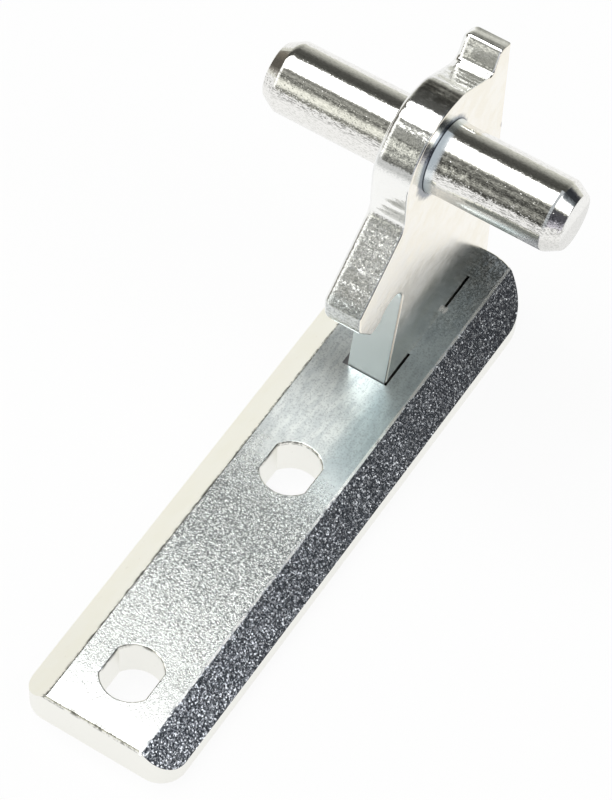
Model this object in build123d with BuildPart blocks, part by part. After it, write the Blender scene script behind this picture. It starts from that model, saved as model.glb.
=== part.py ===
from build123d import *
import os
from math import cos, radians, sin, tan

# Middle hinge of a fridge-freezer: a bar that is screwed to the cabinet, a stamped plate that
# stands on the bar and a pin through the plate, on whose two ends the doors turn.
# Millimetres. X runs along the pin, Y along the bar, Z up from the bar's mounting face.
# The origin is on that face, midway between the two screw holes.

# Screw holes, each a circle with two flats along the bar
hole_length = 6.6
hole_width = 5.6
hole_pitch = 29.5
near_hole_inset = 7.1
far_hole_inset = 35.8

# Mounting bar
bar_width = 18.5
bar_length = near_hole_inset + hole_pitch + far_hole_inset
bar_thickness = 5.0
chamfer_run = 3.5
chamfer_drop = 3.0
near_corner_radius = 3.0
far_corner_radius = 6.4
bar_edge_rounding = 0.3
hole_rim_rounding = 0.15
bar_near_y = -hole_pitch / 2 - near_hole_inset
bar_far_y = bar_near_y + bar_length
bar_middle_y = (bar_near_y + bar_far_y) / 2

# Hinge plate, which stands slightly off the bar's centre line
plate_thickness = 4.7
plate_offset = 0.25
plate_left_x = plate_offset - plate_thickness / 2
plate_right_x = plate_offset + plate_thickness / 2
plate_back_inset = 0.3
plate_back_y = bar_far_y - plate_back_inset
die_roll_radius = 1.0
burr_side_rounding = 0.25

# Pin, whose thicker seat fills the plate's hole and flares out of it on the right
pin_radius = 4.0
pin_length = 35.0
pin_height = 35.25
pin_to_plate_back = 12.4
pin_y = plate_back_y - pin_to_plate_back
pin_left_x = plate_offset - pin_length / 2
pin_right_x = plate_offset + pin_length / 2
pin_chamfer_length = 1.6
pin_chamfer_depth = 0.9
pin_shoulder_rounding = 1.0
pin_end_rounding = 0.2
seat_radius = 4.2
flare_length = 1.4

# Plate outline, as distances along the bar and up from the pin's axis
eye_radius = 7.0
crown_slope = 8.0
crown_end_x = 2.8
crown_fillet = 4.0
shoulder_slope = 28.5
crease_x = 9.15
crease_fillet = 0.8
tip_front = (10.5, 5.8)
tip_fillet = 0.5
tip_back_height = 5.2
nose_front_x = -15.0
nose_top_height = -11.2
nose_front_bottom = -13.6
nose_point = (-12.5, -16.7)
nose_underside_rise = 0.6
slope_top_height = -4.6
slope_fillet = 2.0
nose_top_fillet = 0.3
nose_front_fillet = 2.0
nose_point_fillet = 0.6
relief_radius = 2.2
relief_height = -17.2
foot_height = bar_thickness - pin_height
foot_front_x = -8.65
neck_top_x = -6.45

# Foot of the plate, which goes down through the slot in the bar
tenon_length = 17.0
tenon_recess = 0.2
tenon_end_clearance = 0.1

# Slot in the bar: wide pockets at its two ends and a tight stretch between them
slot_width = 5.5
slot_pocket_length = 4.9


def screw_hole_outline():
    """Return the outline of one screw hole, centred on the sketch origin."""
    with BuildSketch() as outline:
        Circle(hole_length / 2)
        Rectangle(hole_width, hole_length, mode=Mode.INTERSECT)
    return outline.sketch


def slot_outline():
    """Return the outline of the slot that takes the plate's foot."""
    front_y = pin_y + foot_front_x - tenon_end_clearance
    back_y = pin_y + foot_front_x + tenon_length + tenon_end_clearance
    middle_y = (front_y + back_y) / 2
    pocket_spread = (back_y - front_y - slot_pocket_length) / 2
    with BuildSketch() as outline:
        with Locations((0, middle_y - pocket_spread), (0, middle_y + pocket_spread)):
            Rectangle(slot_width, slot_pocket_length)
        with Locations((plate_offset, middle_y)):
            Rectangle(plate_thickness, back_y - front_y)
    return outline.sketch


def plate_outline():
    """Return the plate's outline, with the pin's axis at the sketch origin."""
    eye_end = (eye_radius * sin(radians(crown_slope)), eye_radius * cos(radians(crown_slope)))
    crown_drop = (crown_end_x - eye_end[0]) * tan(radians(crown_slope))
    crown_end = (crown_end_x, eye_end[1] - crown_drop)
    shoulder_drop = (crease_x - crown_end_x) * tan(radians(shoulder_slope))
    crease = (crease_x, crown_end[1] - shoulder_drop)
    tenon_bottom = tenon_recess - pin_height
    tenon_back_x = foot_front_x + tenon_length
    slope_top = (-eye_radius, slope_top_height)
    nose_top = (nose_front_x, nose_top_height)
    nose_front = (nose_front_x, nose_front_bottom)
    relief_x = neck_top_x - relief_radius
    with BuildSketch() as outline:
        with BuildLine():
            CenterArc((0, 0), eye_radius, 180, -90 - crown_slope)
            Polyline(
                eye_end,
                crown_end,
                crease,
                tip_front,
                (pin_to_plate_back, tip_back_height),
                (pin_to_plate_back, foot_height),
                (tenon_back_x, foot_height),
                (tenon_back_x, tenon_bottom),
                (foot_front_x, tenon_bottom),
                (foot_front_x, foot_height),
                (neck_top_x, relief_height),
                (relief_x, relief_height),
                (relief_x, nose_point[1] + nose_underside_rise),
                nose_point,
                nose_front,
                nose_top,
                slope_top,
                (-eye_radius, 0),
            )
        make_face()
        with Locations((relief_x, relief_height)):
            Circle(relief_radius, mode=Mode.SUBTRACT)
        for corner, radius in (
            (crown_end, crown_fillet),
            (crease, crease_fillet),
            (tip_front, tip_fillet),
            (slope_top, slope_fillet),
            (nose_top, nose_top_fillet),
            (nose_front, nose_front_fillet),
            (nose_point, nose_point_fillet),
        ):
            fillet(outline.vertices().sort_by_distance(corner)[0], radius)
    return outline.sketch


def pin_section():
    """Return half of the pin's section, with the pin's axis on the sketch's X axis."""
    end_radius = pin_radius - pin_chamfer_depth
    left_shoulder = (pin_left_x + pin_chamfer_length, pin_radius)
    right_shoulder = (pin_right_x - pin_chamfer_length, pin_radius)
    left_end = (pin_left_x, end_radius)
    right_end = (pin_right_x, end_radius)
    flare_end = (plate_right_x + flare_length, pin_radius)
    with BuildSketch() as outline:
        with BuildLine():
            Polyline(
                (plate_right_x, seat_radius),
                (plate_left_x, seat_radius),
                (plate_left_x, pin_radius),
                left_shoulder,
                left_end,
                (pin_left_x, 0),
                (pin_right_x, 0),
                right_end,
                right_shoulder,
                flare_end,
            )
            TangentArc(flare_end, (plate_right_x, seat_radius), tangent=(-1, 0))
        make_face()
        for corner, radius in (
            (left_shoulder, pin_shoulder_rounding),
            (right_shoulder, pin_shoulder_rounding),
            (left_end, pin_end_rounding),
            (right_end, pin_end_rounding),
        ):
            fillet(outline.vertices().sort_by_distance(corner)[0], radius)
    return outline.sketch


def is_rolled(edge):
    """Tell whether an edge of the plate's left face lies on its rolled front, top or back."""
    middle = edge.center()
    above_nose = middle.Z > pin_height + nose_front_bottom
    at_back = middle.Y > plate_back_y - die_roll_radius
    return above_nose or at_back


def is_above_bar(edge):
    """Tell whether an edge of the plate lies clear above the bar."""
    return edge.center().Z > bar_thickness + burr_side_rounding


os.makedirs("parts", exist_ok=True)

# Bar: a chamfered section drawn along Y, cut to its rounded plan, with two screw holes and the slot
with BuildPart() as mounting_bar:
    with BuildSketch(Plane.XZ.offset(-bar_far_y)):
        with BuildLine():
            Polyline(
                (-bar_width / 2, 0),
                (bar_width / 2, 0),
                (bar_width / 2, bar_thickness - chamfer_drop),
                (bar_width / 2 - chamfer_run, bar_thickness),
                (chamfer_run - bar_width / 2, bar_thickness),
                (-bar_width / 2, bar_thickness - chamfer_drop),
                close=True,
            )
        make_face()
    extrude(amount=bar_length)
    with BuildSketch(Plane.XY) as plan:
        with Locations((0, bar_middle_y)):
            Rectangle(bar_width, bar_length)
        fillet(plan.vertices().group_by(Axis.Y)[0], near_corner_radius)
        fillet(plan.vertices().group_by(Axis.Y)[-1], far_corner_radius)
    extrude(amount=bar_thickness, mode=Mode.INTERSECT)
    fillet(mounting_bar.faces().sort_by(Axis.Z)[-1].outer_wire().edges(), bar_edge_rounding)
    with BuildSketch():
        with GridLocations(0, hole_pitch, 1, 2):
            add(screw_hole_outline())
    extrude(amount=bar_thickness, mode=Mode.SUBTRACT)
    hole_rims = mounting_bar.faces().sort_by(Axis.Z)[-1].inner_wires()
    fillet(hole_rims.edges(), hole_rim_rounding)
    with BuildSketch():
        add(slot_outline())
    extrude(amount=bar_thickness, mode=Mode.SUBTRACT)

# Plate: the stamped outline with the pin's hole, rolled over on its left and nearly sharp on its right
with BuildPart() as hinge_plate:
    plate_plane = Plane(origin=(plate_left_x, pin_y, pin_height), x_dir=(0, 1, 0), z_dir=(1, 0, 0))
    with BuildSketch(plate_plane):
        add(plate_outline())
        Circle(seat_radius, mode=Mode.SUBTRACT)
    extrude(amount=plate_thickness)
    left_rim = hinge_plate.faces().sort_by(Axis.X)[0].outer_wire().edges()
    fillet(left_rim.filter_by(is_rolled), die_roll_radius)
    right_rim = hinge_plate.faces().sort_by(Axis.X)[-1].outer_wire().edges()
    fillet(right_rim.filter_by(is_above_bar), burr_side_rounding)

# Pin: its half section turned round its axis
with BuildPart() as hinge_pin:
    with BuildSketch(Plane(origin=(0, pin_y, pin_height), x_dir=(1, 0, 0), z_dir=(0, -1, 0))):
        add(pin_section())
    revolve(axis=Axis((0, pin_y, pin_height), (1, 0, 0)))

for name, piece in (
    ("mounting_bar", mounting_bar),
    ("hinge_plate", hinge_plate),
    ("hinge_pin", hinge_pin),
):
    piece.part.label = name
    export_step(piece.part, f"parts/{name}.step")
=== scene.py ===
from math import cos, radians, sin

import bpy
from mathutils import Matrix, Vector

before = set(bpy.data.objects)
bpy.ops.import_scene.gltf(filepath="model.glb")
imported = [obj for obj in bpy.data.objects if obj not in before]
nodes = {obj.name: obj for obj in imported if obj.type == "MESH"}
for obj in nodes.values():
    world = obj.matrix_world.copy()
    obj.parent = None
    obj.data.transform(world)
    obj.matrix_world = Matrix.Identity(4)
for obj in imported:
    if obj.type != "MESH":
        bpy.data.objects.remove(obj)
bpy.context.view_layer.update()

MM = 0.001

# Camera, fitted to the photograph: its angles in degrees and its place in metres
CAMERA_AZIMUTH = 30.27
CAMERA_ELEVATION = 55.83
CAMERA_ROLL = 2.857
CAMERA_PLACE = (108.12 * MM, -168.09 * MM, 330.72 * MM)
# Its lens and sensor in millimetres, and the range it sees in metres
CAMERA_LENS = 219.13
SENSOR_WIDTH = 36.0
CAMERA_NEAR = 0.01
CAMERA_FAR = 50

# Places on the hinge, in millimetres
PIN_Y = 37.85
PIN_Z = 35.25
SEAT_RADIUS = 4.2
PLATE_LEFT = -2.1
PLATE_RIGHT = 2.6
HOLE_Y = 14.75
HOLE_RADIUS = 3.3
HOLE_HALF_WIDTH = 2.8
BAR_TOP_HALF_WIDTH = 5.75
BAR_NEAR_END = -21.85
LIP_HIGHLIGHT_PLACE = (2.83, 41.0)
CHIP_PLACE = (50.1, 27.5)
PIN_REFLECTION_PLACE = (PIN_Y - 0.5, PIN_Z + 0.35)
# The lip's painted highlight and the chip are longer than wide
SPOT_SQUASH = 0.45

# Floor, in metres, and how much of it shows as plain white to the camera and to mirrors
FLOOR_REACH = 1.5
FLOOR_DROP = 0.02 * MM
FLOOR_COLOR = (0.95, 0.95, 0.94, 1)
FLOOR_GLOW = 0.92

# Angles of the studio's tables, in degrees
FIRST_ANGLE = -90.0
LAST_ANGLE = 270.0
FULL_TURN = 360.0

# The studio, as brightness against the angle round the X axis in degrees: 0 is the horizon behind
# the object, 90 straight up and 180 the horizon in front. A long softbox hangs overhead.
SOFTBOX = 4.0
STUDIO_BACK = (
    (-90, 1.0), (-10, 0.95), (3, 0.70), (15, 0.47), (27, 0.27), (36, 0.10), (50, 0.07),
    (63, 0.08), (67, 0.25), (71, SOFTBOX),
)
STUDIO_MIDDLE = STUDIO_BACK + (
    (107, SOFTBOX), (111, 0.9), (116, 0.30), (122, 0.09), (129, 0.42), (134, 0.28), (141, 0.08),
    (148, 0.08), (158, 0.48), (165, 0.28), (175, 0.07), (182, 0.20), (188, 0.40), (195, 0.60),
    (204, 0.86), (214, 0.94), (270, 1.0),
)
STUDIO_LEFT = STUDIO_BACK + (
    (106, SOFTBOX), (110, 0.5), (116, 0.16), (122, 0.42), (129, 0.46), (135, 0.18), (141, 0.38),
    (147, 0.85), (153, 1.1), (165, 1.0), (171, 0.36), (177, 0.25), (183, 0.70), (189, 0.97),
    (270, 1.05),
)
STUDIO_RIGHT = (
    (-90, 1.0), (-6, 0.95), (4, (0.50, 0.50, 0.50)), (15, (0.16, 0.165, 0.17)),
    (28, (0.035, 0.038, 0.045)), (55, (0.04, 0.045, 0.05)), (66, (0.3, 0.33, 0.36)),
    (72, 2.0), (106, 2.0), (111, 0.5), (117, (0.09, 0.09, 0.10)), (150, (0.10, 0.10, 0.12)),
    (164, (0.45, 0.44, 0.50)), (175, (0.78, 0.75, 0.85)), (195, 0.97), (270, 1.0),
)
STUDIO_FAR_LEFT = (
    (-90, 1.0), (-4, 0.9), (8, (0.34, 0.32, 0.27)), (25, (0.20, 0.18, 0.15)),
    (60, (0.12, 0.11, 0.095)), (110, (0.12, 0.11, 0.095)), (150, (0.35, 0.33, 0.30)),
    (184, 0.9), (270, 1.0),
)
# Grey levels of the room are tinted, those of its lamps aren't
LAMP_LEVEL = 2
ROOM_BLUE = 0.91
# Single colours of the studio
SCREEN_LIGHT = (0.54, 0.57, 0.60)
RIGHT_END_LIGHT = (0.30, 0.31, 0.34)
WALL_LIGHT = (1.4, 1.4, 1.36)
BACKDROP = (1.0, 1.0, 1.0)
# Where one part of the studio fades into the next, as the X of a direction
MIDDLE_STARTS = (-0.295, -0.275)
SCREEN_STARTS = (-0.16, -0.06)
RIGHT_STARTS = (0.34, 0.42)
RIGHT_END_STARTS = (0.86, 0.97)
WALL_STARTS = (-0.45, -0.60)
FAR_LEFT_STARTS = (-0.80, -0.90)
# The same in degrees round the X axis: the screen's lower, upper and soft edge, and the wall's
SCREEN_BAND = (58.0, 190.0, 10.0)
WALL_RISES = (60.0, 110.0)


def make_camera():
    azimuth, elevation, roll = (
        radians(v) for v in (CAMERA_AZIMUTH, CAMERA_ELEVATION, CAMERA_ROLL)
    )
    back = Vector((sin(azimuth) * cos(elevation), -cos(azimuth) * cos(elevation), sin(elevation)))
    level = Vector((cos(azimuth), sin(azimuth), 0))
    upright = back.cross(level)
    right = level * cos(roll) + upright * sin(roll)
    up = back.cross(right)
    data = bpy.data.cameras.new("camera")
    data.lens = CAMERA_LENS
    data.sensor_fit = "HORIZONTAL"
    data.sensor_width = SENSOR_WIDTH
    data.clip_start = CAMERA_NEAR
    data.clip_end = CAMERA_FAR
    camera = bpy.data.objects.new("camera", data)
    turn = Matrix((right, up, back)).transposed().to_4x4()
    camera.matrix_world = Matrix.Translation(CAMERA_PLACE) @ turn
    bpy.context.scene.collection.objects.link(camera)
    bpy.context.scene.camera = camera


class Tree:
    """A small helper to lay out shader nodes."""

    def __init__(self, owner):
        owner.use_nodes = True
        self.tree = owner.node_tree
        self.tree.nodes.clear()

    def add(self, kind, inputs=None, **settings):
        node = self.tree.nodes.new(kind)
        for name, value in settings.items():
            setattr(node, name, value)
        for name, value in (inputs or {}).items():
            self.feed(node.inputs[name], value)
        return node

    def feed(self, socket, value):
        if isinstance(value, bpy.types.NodeSocket):
            self.tree.links.new(value, socket)
        else:
            socket.default_value = value

    def math(self, operation, *values):
        return self.add("ShaderNodeMath", dict(enumerate(values)), operation=operation).outputs[0]

    def vector_math(self, operation, *values):
        inputs = dict(enumerate(values))
        return self.add("ShaderNodeVectorMath", inputs, operation=operation).outputs[0]

    def product(self, *values):
        total = values[0]
        for value in values[1:]:
            total = self.math("MULTIPLY", total, value)
        return total

    def plus(self, base, *layers):
        """Add to the base each layer's cover times its amount."""
        for cover, amount in layers:
            base = self.math("MULTIPLY_ADD", cover, amount, base)
        return base

    def minus(self, a, b):
        return self.math("SUBTRACT", a, b)

    def highest(self, a, b):
        return self.math("MAXIMUM", a, b)

    def ramp(self, value, stops):
        node = self.add("ShaderNodeValToRGB", {"Fac": value})
        elements = node.color_ramp.elements
        while len(elements) > 1:
            elements.remove(elements[-1])
        for number, (place, color) in enumerate(stops):
            element = elements.new(place) if number else elements[0]
            element.position = place
            level = color if isinstance(color, tuple) else (color, color, color)
            element.color = (*level, 1)
        return node.outputs["Color"]

    def span(self, value, low, high, to_low=0.0, to_high=1.0, smooth=True):
        """Carry a value from one range over to another, with smooth or straight ends."""
        inputs = {
            "Value": value, "From Min": low, "From Max": high, "To Min": to_low, "To Max": to_high,
        }
        course = "SMOOTHSTEP" if smooth else "LINEAR"
        return self.add("ShaderNodeMapRange", inputs, interpolation_type=course).outputs["Result"]

    def band(self, value, low, high, soft):
        """1 between low and high, fading to 0 over a soft edge."""
        rise = self.span(value, low - soft / 2, low + soft / 2)
        fall = self.span(value, high - soft / 2, high + soft / 2, 1.0, 0.0)
        return self.product(rise, fall)

    def mix(self, factor, a, b):
        """Mix two colours."""
        node = self.add("ShaderNodeMix", data_type="RGBA")
        self.feed(node.inputs[0], factor)
        for socket, value in ((node.inputs[6], a), (node.inputs[7], b)):
            self.feed(socket, (*value, 1) if isinstance(value, tuple) else value)
        return node.outputs[2]

    def coated(self, color, *coats):
        """Lay coats over a colour, each given as its cover and its own colour."""
        for cover, coat in coats:
            color = self.mix(cover, color, coat)
        return color

    def mix_numbers(self, factor, a, b):
        return self.add("ShaderNodeMix", {0: factor, 2: a, 3: b}).outputs[0]

    def clouds(self, vector, size, detail, roughness):
        inputs = {"Vector": vector, "Scale": 1 / size, "Detail": detail, "Roughness": roughness}
        return self.add("ShaderNodeTexNoise", inputs).outputs

    def noise(self, vector, size, detail, roughness):
        """Noise whose cells are about size, in the unit of the vector."""
        return self.clouds(vector, size, detail, roughness)["Fac"]

    def tints(self, vector, size, detail, roughness):
        """Noise in three unlike channels."""
        return self.clouds(vector, size, detail, roughness)["Color"]

    def cells(self, vector, size):
        """A random colour for each small cell."""
        node = self.add("ShaderNodeTexVoronoi", {"Vector": vector, "Scale": 1 / size})
        return node.outputs["Color"]

    def drawn(self, vector, share):
        """Draw a pattern out along the X axis, to cells that are 1 / share times as long."""
        return self.vector_math("MULTIPLY", vector, (share, 1.0, 1.0))

    def millimetres(self):
        place = self.add("ShaderNodeTexCoord").outputs["Object"]
        return self.vector_math("MULTIPLY", place, (1 / MM, 1 / MM, 1 / MM))

    def axes(self, vector):
        return self.add("ShaderNodeSeparateXYZ", {"Vector": vector}).outputs

    def vector(self, x, y, z):
        return self.add("ShaderNodeCombineXYZ", {"X": x, "Y": y, "Z": z}).outputs[0]

    def tilted(self, normal, colors, amount):
        """Turn the normal at random by a colour, to the amount given for each axis."""
        centred = self.vector_math("SUBTRACT", colors, (0.5, 0.5, 0.5))
        shift = self.vector_math("MULTIPLY", centred, amount)
        return self.vector_math("NORMALIZE", self.vector_math("ADD", normal, shift))

    def reach(self, a, b):
        """How far a point lies from the origin of two axes."""
        squares = self.math("ADD", self.product(a, a), self.product(b, b))
        return self.math("SQRT", squares)

    def metal(self, color, roughness, height, depth, normal):
        """Finish the material as bare plated metal with a bumpy surface, its depth in mm."""
        inputs = {"Height": height, "Strength": 1.0, "Distance": depth * MM, "Normal": normal}
        bump = self.add("ShaderNodeBump", inputs).outputs["Normal"]
        inputs = {"Base Color": color, "Metallic": 1.0, "Roughness": roughness, "Normal": bump}
        shader = self.add("ShaderNodeBsdfPrincipled", inputs)
        self.add("ShaderNodeOutputMaterial", {"Surface": shader.outputs[0]})


def grey(level):
    return (level, level, level)


def warm(level):
    """Tint a grey level of the room. A colour or a lamp's level stays as it is."""
    if isinstance(level, tuple) or level >= LAMP_LEVEL:
        return level
    return (level, level, ROOM_BLUE * level)


def make_world():
    world = bpy.data.worlds.new("studio")
    bpy.context.scene.world = world
    t = Tree(world)
    direction = t.add("ShaderNodeTexCoord").outputs["Generated"]
    x, y, z = t.axes(direction)
    angle = t.math("DEGREES", t.math("ARCTAN2", z, y))
    turned = t.math("WRAP", angle, LAST_ANGLE, FIRST_ANGLE)
    share = t.math("DIVIDE", t.math("ADD", turned, -FIRST_ANGLE), FULL_TURN)
    middle, left, right, far_left = (
        t.ramp(share, [((a - FIRST_ANGLE) / FULL_TURN, warm(v)) for a, v in stops])
        for stops in (STUDIO_MIDDLE, STUDIO_LEFT, STUDIO_RIGHT, STUDIO_FAR_LEFT)
    )
    # The softbox ends near the middle, and a dimmer screen hangs between it and a second one.
    # A white wall stands on the left, in front and overhead.
    screen = t.product(t.band(turned, *SCREEN_BAND), t.span(x, *SCREEN_STARTS))
    wall = t.product(t.span(x, *WALL_STARTS), t.span(turned, *WALL_RISES))
    light = t.coated(
        left,
        (t.span(x, *MIDDLE_STARTS), middle),
        (screen, SCREEN_LIGHT),
        (t.span(x, *RIGHT_STARTS), right),
        (t.span(x, *RIGHT_END_STARTS), RIGHT_END_LIGHT),
        (wall, WALL_LIGHT),
        (t.span(x, *FAR_LEFT_STARTS), far_left),
    )
    # The camera itself sees plain white
    seen = t.add("ShaderNodeLightPath").outputs["Is Camera Ray"]
    inputs = {"Color": t.mix(seen, light, BACKDROP), "Strength": 1.0}
    background = t.add("ShaderNodeBackground", inputs)
    t.add("ShaderNodeOutputWorld", {"Surface": background.outputs[0]})


def make_floor():
    """Lay a pale floor just under the hinge, almost plain white to the camera and to mirrors."""
    mesh = bpy.data.meshes.new("floor")
    corners = [
        (side * FLOOR_REACH, end * FLOOR_REACH, -FLOOR_DROP)
        for side, end in ((-1, -1), (1, -1), (1, 1), (-1, 1))
    ]
    mesh.from_pydata(corners, [], [(0, 1, 2, 3)])
    floor = bpy.data.objects.new("floor", mesh)
    bpy.context.scene.collection.objects.link(floor)
    material = bpy.data.materials.new("floor")
    t = Tree(material)
    diffuse = t.add("ShaderNodeBsdfDiffuse", {"Color": FLOOR_COLOR})
    glow = t.add("ShaderNodeEmission", {"Color": (*BACKDROP, 1), "Strength": 1.0})
    path = t.add("ShaderNodeLightPath").outputs
    shown = t.highest(path["Is Camera Ray"], path["Is Glossy Ray"])
    shown = t.highest(shown, path["Is Transmission Ray"])
    inputs = {0: t.product(shown, FLOOR_GLOW), 1: diffuse.outputs[0], 2: glow.outputs[0]}
    mixed = t.add("ShaderNodeMixShader", inputs)
    t.add("ShaderNodeOutputMaterial", {"Surface": mixed.outputs[0]})
    mesh.materials.append(material)


def bar_zinc():
    """Zinc over rough rolled steel: a fine grain on top, dark and sparkling on the right bevel."""
    material = bpy.data.materials.new("bar_zinc")
    t = Tree(material)
    place = t.millimetres()
    x, y, z = t.axes(place)
    normal = t.add("ShaderNodeNewGeometry").outputs["Normal"]
    across, _, upward = t.axes(normal)
    top = t.span(upward, 0.84, 0.97)
    right = t.product(t.span(across, 0.35, 0.62), t.span(upward, 0.25, 0.60))
    off_middle = t.math("ABSOLUTE", x)

    # The grain grows from the near end and fades out towards the smooth patch round the foot
    broad = t.noise(place, 4.0, 3.0, 0.6)
    border = t.plus(y, (broad, 4.0))
    smooth = t.span(border, 9.0, 23.0)
    grainy = t.product(top, t.minus(1.0, smooth), t.span(y, -24.0, 2.0, 0.28, 1.0))
    far = t.product(t.span(y, 33.0, 48.0), top)
    fine = t.noise(place, 0.12, 3.0, 0.65)
    facets = t.mix(0.5, t.cells(place, 0.16), t.tints(place, 0.11, 1.0, 0.5))
    tilt = t.product(grainy, 0.11)
    tilt = t.plus(tilt, (right, 0.56), (far, 0.30), (t.product(top, smooth), 0.03))
    normal = t.tilted(normal, facets, t.vector(tilt, tilt, tilt))
    # Near its end the top leans forward a little, and mirrors a lighter part of the studio
    lean = t.product(t.span(y, -12.0, -22.0), top, -0.018)
    normal = t.vector_math("ADD", normal, t.vector(0.0, lean, 0.0))
    rough = t.plus(t.span(broad, 0.3, 0.7, 0.16, 0.20), (smooth, 0.14))
    rough = t.mix(top, grey(0.30), rough)
    rough = t.mix(right, rough, grey(0.13))

    # Painted highlights: a bright line along the top's right edge, and a bright spot on a lip in
    # the slot's far opening
    edge_highlight = t.band(x, BAR_TOP_HALF_WIDTH - 0.14, BAR_TOP_HALF_WIDTH + 0.14, 0.06)
    highlight_breaks = t.span(t.noise(place, 2.5, 4.0, 0.7), 0.30, 0.52)
    edge_highlight = t.product(edge_highlight, t.span(z, 4.0, 4.6), highlight_breaks)
    lip_x, lip_y = LIP_HIGHLIGHT_PLACE
    lip_highlight = t.reach(t.minus(x, lip_x), t.product(t.minus(y, lip_y), SPOT_SQUASH))
    lip_highlight = t.product(t.span(lip_highlight, 0.26, 0.16), t.span(z, 4.6, 4.8))
    painted_highlight = t.highest(edge_highlight, lip_highlight)
    normal = t.vector_math("NORMALIZE", t.mix(painted_highlight, normal, (0.0, -0.14, 0.99)))
    rough = t.mix(painted_highlight, rough, grey(0.25))

    # The grain, with dull patches and dark pits between the two holes
    dull = t.product(t.span(y, -14.0, 6.0), t.span(border, 19.0, 11.0), top)
    pits_noise = t.noise(place, 0.22, 3.0, 0.65)
    pits = t.span(t.plus(pits_noise, (dull, 0.09)), 0.54, 0.63)
    grain = t.coated(
        t.mix(t.span(fine, 0.32, 0.50), (0.70, 0.735, 0.72), (0.90, 0.925, 0.905)),
        # Painted reflection: the grain is painted lighter towards the near end
        (t.span(y, -13.0, -21.0), (0.96, 0.97, 0.96)),
        (t.product(dull, 0.20), (0.24, 0.26, 0.26)),
        (t.product(pits, grainy, 0.74), (0.19, 0.21, 0.21)),
    )
    # The patch is bluish and streaked along the bar. Right of the plate it is painted darker, and
    # darker still towards the far end: a painted reflection of the plate's face.
    lengthways = t.vector_math("MULTIPLY", place, (1.0, 0.25, 1.0))
    streaks = t.noise(lengthways, 0.7, 4.0, 0.65)
    patch = t.coated(
        t.mix(t.span(x, 1.5, 3.2), (0.87, 0.915, 0.90), (0.60, 0.68, 0.695)),
        # Painted reflection of the plate's face, darker towards the far end
        (t.span(y, 34.0, 50.0), (0.22, 0.225, 0.22)),
        (t.span(streaks, 0.35, 0.68, 0.0, 0.34), (0.28, 0.34, 0.38)),
        (t.product(t.span(pits_noise, 0.50, 0.62), 0.33), (0.22, 0.25, 0.27)),
    )
    metal = t.mix(smooth, grain, patch)
    bevel = t.mix(t.span(y, -22.0, 50.0, smooth=False), (0.76, 0.79, 0.84), (0.53, 0.54, 0.55))
    # The other sides are smooth and creamy, with a few faint specks. The slot's walls are painted
    # dark, a painted shade in the narrow slot.
    spots = t.span(t.noise(place, 0.7, 3.0, 0.7), 0.66, 0.74)
    slot_shade = t.product(
        t.span(off_middle, 2.95, 2.85), t.span(y, 28.0, 28.5), t.span(y, 47.5, 47.0)
    )
    cream = t.coated(
        t.mix(t.span(broad, 0.35, 0.65), (0.98, 0.965, 0.85), (0.99, 0.98, 0.88)),
        (t.span(upward, 0.5, 0.2), (0.93, 0.925, 0.875)),
        (t.product(spots, 0.30), (0.62, 0.58, 0.48)),
        # Painted shade on the slot's walls
        (slot_shade, grey(0.10)),
    )

    # Painted shade: dark lines along the holes' rims and along the top's left and near edges
    past_round = t.reach(x, t.minus(t.math("ABSOLUTE", y), HOLE_Y))
    past_round = t.minus(past_round, HOLE_RADIUS)
    past_flat = t.minus(off_middle, HOLE_HALF_WIDTH)
    rim = t.span(t.highest(past_round, past_flat), 0.16, 0.08)
    left_edge = t.band(x, -BAR_TOP_HALF_WIDTH - 0.22, -BAR_TOP_HALF_WIDTH + 0.08, 0.12)
    near_edge = t.span(y, BAR_NEAR_END + 0.42, BAR_NEAR_END + 0.30)
    painted_edge_shade = t.highest(rim, t.highest(left_edge, near_edge))
    painted_edge_shade = t.product(painted_edge_shade, t.span(z, 4.4, 4.7))
    breaks = t.span(t.noise(place, 0.9, 4.0, 0.75), 0.42, 0.58)
    color = t.coated(
        t.mix(top, cream, metal),
        (right, bevel),
        # Painted highlights on the right edge and on the lip
        (painted_highlight, (0.95, 0.96, 0.95)),
        # Painted shade along the rims and edges, broken up by noise
        (t.product(painted_edge_shade, breaks, 0.8), (0.12, 0.12, 0.10)),
    )
    height = t.product(t.highest(grainy, t.product(right, 0.5)), fine, t.minus(1.0, painted_highlight))
    t.metal(color, rough, height, 0.022, normal)
    return material


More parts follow.
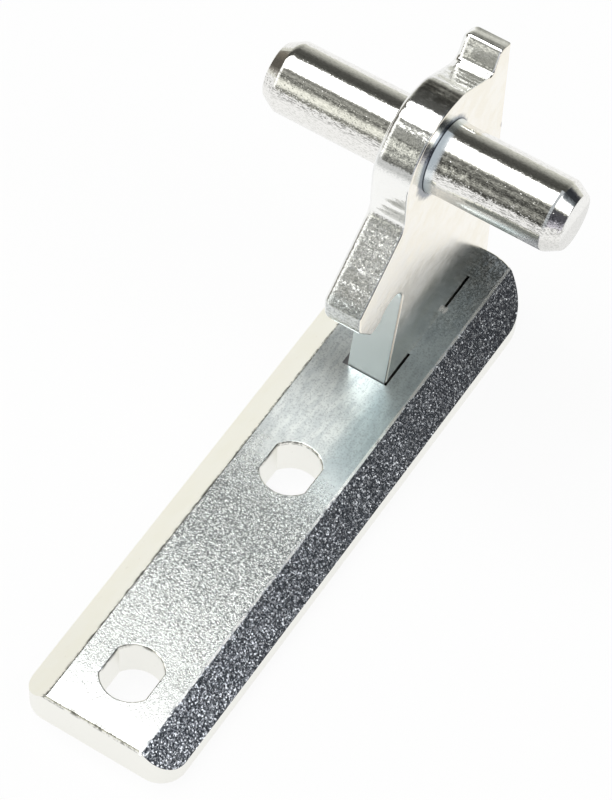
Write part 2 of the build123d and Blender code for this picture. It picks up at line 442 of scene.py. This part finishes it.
def plate_zinc():
    """Zinc over stamped steel: smooth, faintly mottled faces and coarse sheared edges."""
    material = bpy.data.materials.new("plate_zinc")
    t = Tree(material)
    place = t.millimetres()
    x, y, z = t.axes(place)
    geometry = t.add("ShaderNodeNewGeometry").outputs
    across = t.axes(geometry["True Normal"])[0]
    edge = t.span(t.math("ABSOLUTE", across), 0.75, 0.35)
    # The sheared edge is rough, but for a smooth stretch down the neck's front
    neck_front = t.product(t.span(z, 21.0, 19.0), t.span(y, 40.0, 36.0))
    rough_cut = t.product(edge, t.minus(1.0, neck_front))
    smooth_cut = t.minus(edge, rough_cut)
    front = t.span(y, 36.0, 35.0)
    slope = t.product(t.band(z, 22.0, 30.9, 1.2), t.span(y, 31.2, 30.4), rough_cut)
    crown = t.product(t.span(z, 40.6, 41.8), rough_cut)
    nose = t.product(t.span(y, 24.2, 23.4), rough_cut)
    brow = t.product(t.band(z, 39.0, 40.9, 0.8), front, rough_cut)
    # Painted shade: a dark band along the eye's rounded edge below the brow
    chin_shade = t.product(t.band(z, 37.8, 38.8, 0.6), front, rough_cut)
    burr = t.product(
        t.band(across, 0.30, 0.93, 0.1), t.span(z, 20.0, 19.0), t.span(y, 32.0, 31.0)
    )
    right_face = t.span(across, 0.9, 0.98)
    left_face = t.span(across, 0.0, -0.3)

    fine = t.noise(place, 0.13, 2.0, 0.6)
    mottle = t.noise(place, 1.6, 3.0, 0.6)
    streaks = t.tints(t.drawn(place, 0.22), 0.22, 3.0, 0.6)
    facets = t.mix(0.5, t.cells(place, 0.15), t.tints(place, 0.11, 1.0, 0.5))
    tilt = t.plus(t.product(rough_cut, 0.11), (slope, 0.20))
    normal = t.tilted(geometry["Normal"], facets, t.vector(tilt, tilt, tilt))
    tilt = t.plus(t.product(rough_cut, 0.12), (crown, 0.20))
    normal = t.tilted(normal, streaks, t.vector(0.0, tilt, tilt))
    # The slope down to the nose bulges, so it mirrors a little more of the softbox
    lean = t.vector(0.0, 0.0, t.product(slope, 0.25))
    normal = t.vector_math("NORMALIZE", t.vector_math("ADD", normal, lean))
    # Waves that the shear left across the edge
    waves = t.noise(t.drawn(place, 0.12), 1.5, 1.0, 0.5)
    waves = t.product(waves, t.plus(1.0, (slope, -0.7)))
    height = t.mix_numbers(rough_cut, t.product(mottle, 0.05), waves)

    tone = t.math("ADD", t.product(mottle, 0.5), t.product(t.noise(place, 4.0, 3.0, 0.6), 0.5))
    mottled = t.span(tone, 0.38, 0.62)
    right_color = t.mix(mottled, (0.93, 0.885, 0.775), (0.975, 0.945, 0.87))
    left_color = t.mix(mottled, (0.84, 0.85, 0.84), (0.93, 0.93, 0.91))
    face_color = t.mix(left_face, right_color, left_color)
    # The cut is painted brighter on the eye's front and on the tip, a painted highlight
    bright = t.highest(t.band(z, 30.9, 37.4, 0.8), t.span(y, 45.5, 47.0))
    bright = t.product(bright, t.highest(t.span(y, 40.0, 39.0), t.span(z, 36.5, 38.0)))
    edge_color = t.mix(t.span(fine, 0.36, 0.52), (0.66, 0.67, 0.655), (0.93, 0.93, 0.91))
    edge_color = t.mix(t.product(bright, 0.9), edge_color, (0.97, 0.97, 0.95))
    specks = t.span(t.noise(t.drawn(place, 0.6), 0.20, 4.0, 0.7), 0.50, 0.57)
    specks = t.product(specks, t.plus(brow, (slope, 0.6)), 0.58)
    # Painted reflection: a dark brown patch on the crown, just behind its top
    crown_reflection = t.product(crown, t.band(y, 38.0, 40.9, 1.8), t.span(mottle, 0.25, 0.55))

    # A painted reflection of the pin, dark on the plate's face beside its seat, a dark joint round
    # the seat, and a chip on the back edge
    reflection_y, reflection_z = PIN_REFLECTION_PLACE
    pin_reflection = t.reach(t.minus(y, reflection_y), t.minus(z, reflection_z))
    pin_reflection = t.plus(pin_reflection, (t.noise(place, 0.8, 3.0, 0.6), 0.9))
    pin_reflection = t.product(t.span(pin_reflection, 5.5, 4.8), right_face, 0.85)
    joint = t.reach(t.minus(y, PIN_Y), t.minus(z, PIN_Z))
    joint = t.product(t.span(joint, SEAT_RADIUS + 0.12, SEAT_RADIUS + 0.04), right_face)
    chip_y, chip_z = CHIP_PLACE
    chip = t.reach(t.minus(y, chip_y), t.product(t.minus(z, chip_z), SPOT_SQUASH))
    chip = t.product(t.span(chip, 0.24, 0.14), t.span(x, 2.2, 2.4))
    color = t.coated(
        face_color,
        (rough_cut, edge_color),
        (t.product(nose, 0.45), (0.45, 0.50, 0.50)),
        (specks, (0.18, 0.19, 0.18)),
        # Painted shade on the chin
        (t.product(chin_shade, 0.45), (0.20, 0.21, 0.20)),
        # Painted reflection on the crown
        (t.product(crown_reflection, 0.72), (0.13, 0.12, 0.10)),
        (smooth_cut, (0.93, 0.99, 0.99)),
        (t.product(burr, 0.7), (0.36, 0.32, 0.26)),
        # Painted reflection of the pin on the plate's face
        (pin_reflection, (0.10, 0.13, 0.18)),
        (joint, (0.10, 0.11, 0.12)),
        (chip, (0.10, 0.07, 0.04)),
    )
    rough = t.span(tone, 0.35, 0.65, 0.14, 0.20)
    rough = t.plus(rough, (rough_cut, -0.01), (slope, 0.08), (smooth_cut, 0.26))
    t.metal(color, rough, height, 0.20, normal)
    return material


def pin_zinc():
    """Zinc over drawn round steel: glossy, with short draw marks along the pin."""
    material = bpy.data.materials.new("pin_zinc")
    t = Tree(material)
    place = t.millimetres()
    x, y, z = t.axes(place)
    normal = t.add("ShaderNodeNewGeometry").outputs["Normal"]
    marks = t.tints(t.drawn(place, 0.22), 0.085, 2.0, 0.6)
    patches = t.noise(place, 0.9, 2.0, 0.5)
    # The front was drawn more roughly than the rest
    front = t.product(
        t.span(y, PIN_Y - 1.9, PIN_Y - 2.5), t.span(z, PIN_Z + 0.6, PIN_Z + 1.5)
    )
    tilt = t.plus(t.span(patches, 0.38, 0.64, 0.03, 0.09), (front, 0.07))
    normal = t.tilted(normal, marks, t.vector(0.0, tilt, tilt))
    # Here and there a crystal stands at a steeper angle and glints
    facets = t.cells(t.drawn(place, 0.5), 0.065)
    glints = t.span(t.axes(facets)[0], 0.60, 0.95)
    tilt = t.product(glints, t.plus(0.06, (front, 0.36)))
    normal = t.tilted(normal, facets, t.vector(0.0, tilt, tilt))

    fine = t.noise(t.drawn(place, 0.4), 0.14, 2.0, 0.6)
    # The front's dark pits, fewer in a cleaner stripe that runs along the left end
    pits = t.span(t.noise(t.drawn(place, 0.2), 0.14, 3.0, 0.7), 0.50, 0.57)
    clean = t.product(
        t.band(z, PIN_Z + 2.0, PIN_Z + 2.9, 0.5), t.span(x, PLATE_LEFT, PLATE_LEFT - 0.5)
    )
    pits = t.product(pits, t.plus(0.70, (clean, -0.55)), front)
    under = t.span(z, PIN_Z + 0.9, PIN_Z - 0.2)
    right_end = t.span(x, PLATE_RIGHT, PLATE_RIGHT + 0.8)
    # The flare at the plate is dull and bluish, with a dark joint at its foot
    flare = t.product(
        t.span(x, PLATE_LEFT, PLATE_RIGHT), t.span(x, PLATE_RIGHT + 1.1, PLATE_RIGHT + 0.5)
    )
    joint = t.product(flare, t.span(x, PLATE_RIGHT + 0.11, PLATE_RIGHT + 0.04))
    color = t.coated(
        t.mix(t.span(fine, 0.35, 0.55), (0.72, 0.72, 0.69), (0.91, 0.90, 0.875)),
        (pits, (0.18, 0.18, 0.17)),
        (t.product(under, right_end, 0.30), (0.50, 0.50, 0.48)),
        (flare, (0.79, 0.84, 0.86)),
        (joint, (0.07, 0.08, 0.10)),
    )
    rough = t.span(patches, 0.3, 0.7, 0.05, 0.08)
    rough = t.plus(rough, (under, 0.14), (flare, 0.16))
    t.metal(color, rough, patches, 0.01, normal)
    return material


def dress(node, material):
    nodes[node].data.materials.clear()
    nodes[node].data.materials.append(material)


make_camera()
make_world()
make_floor()
dress("mounting_bar", bar_zinc())
dress("hinge_plate", plate_zinc())
dress("hinge_pin", pin_zinc())

bpy.context.scene.view_settings.view_transform = "Standard"
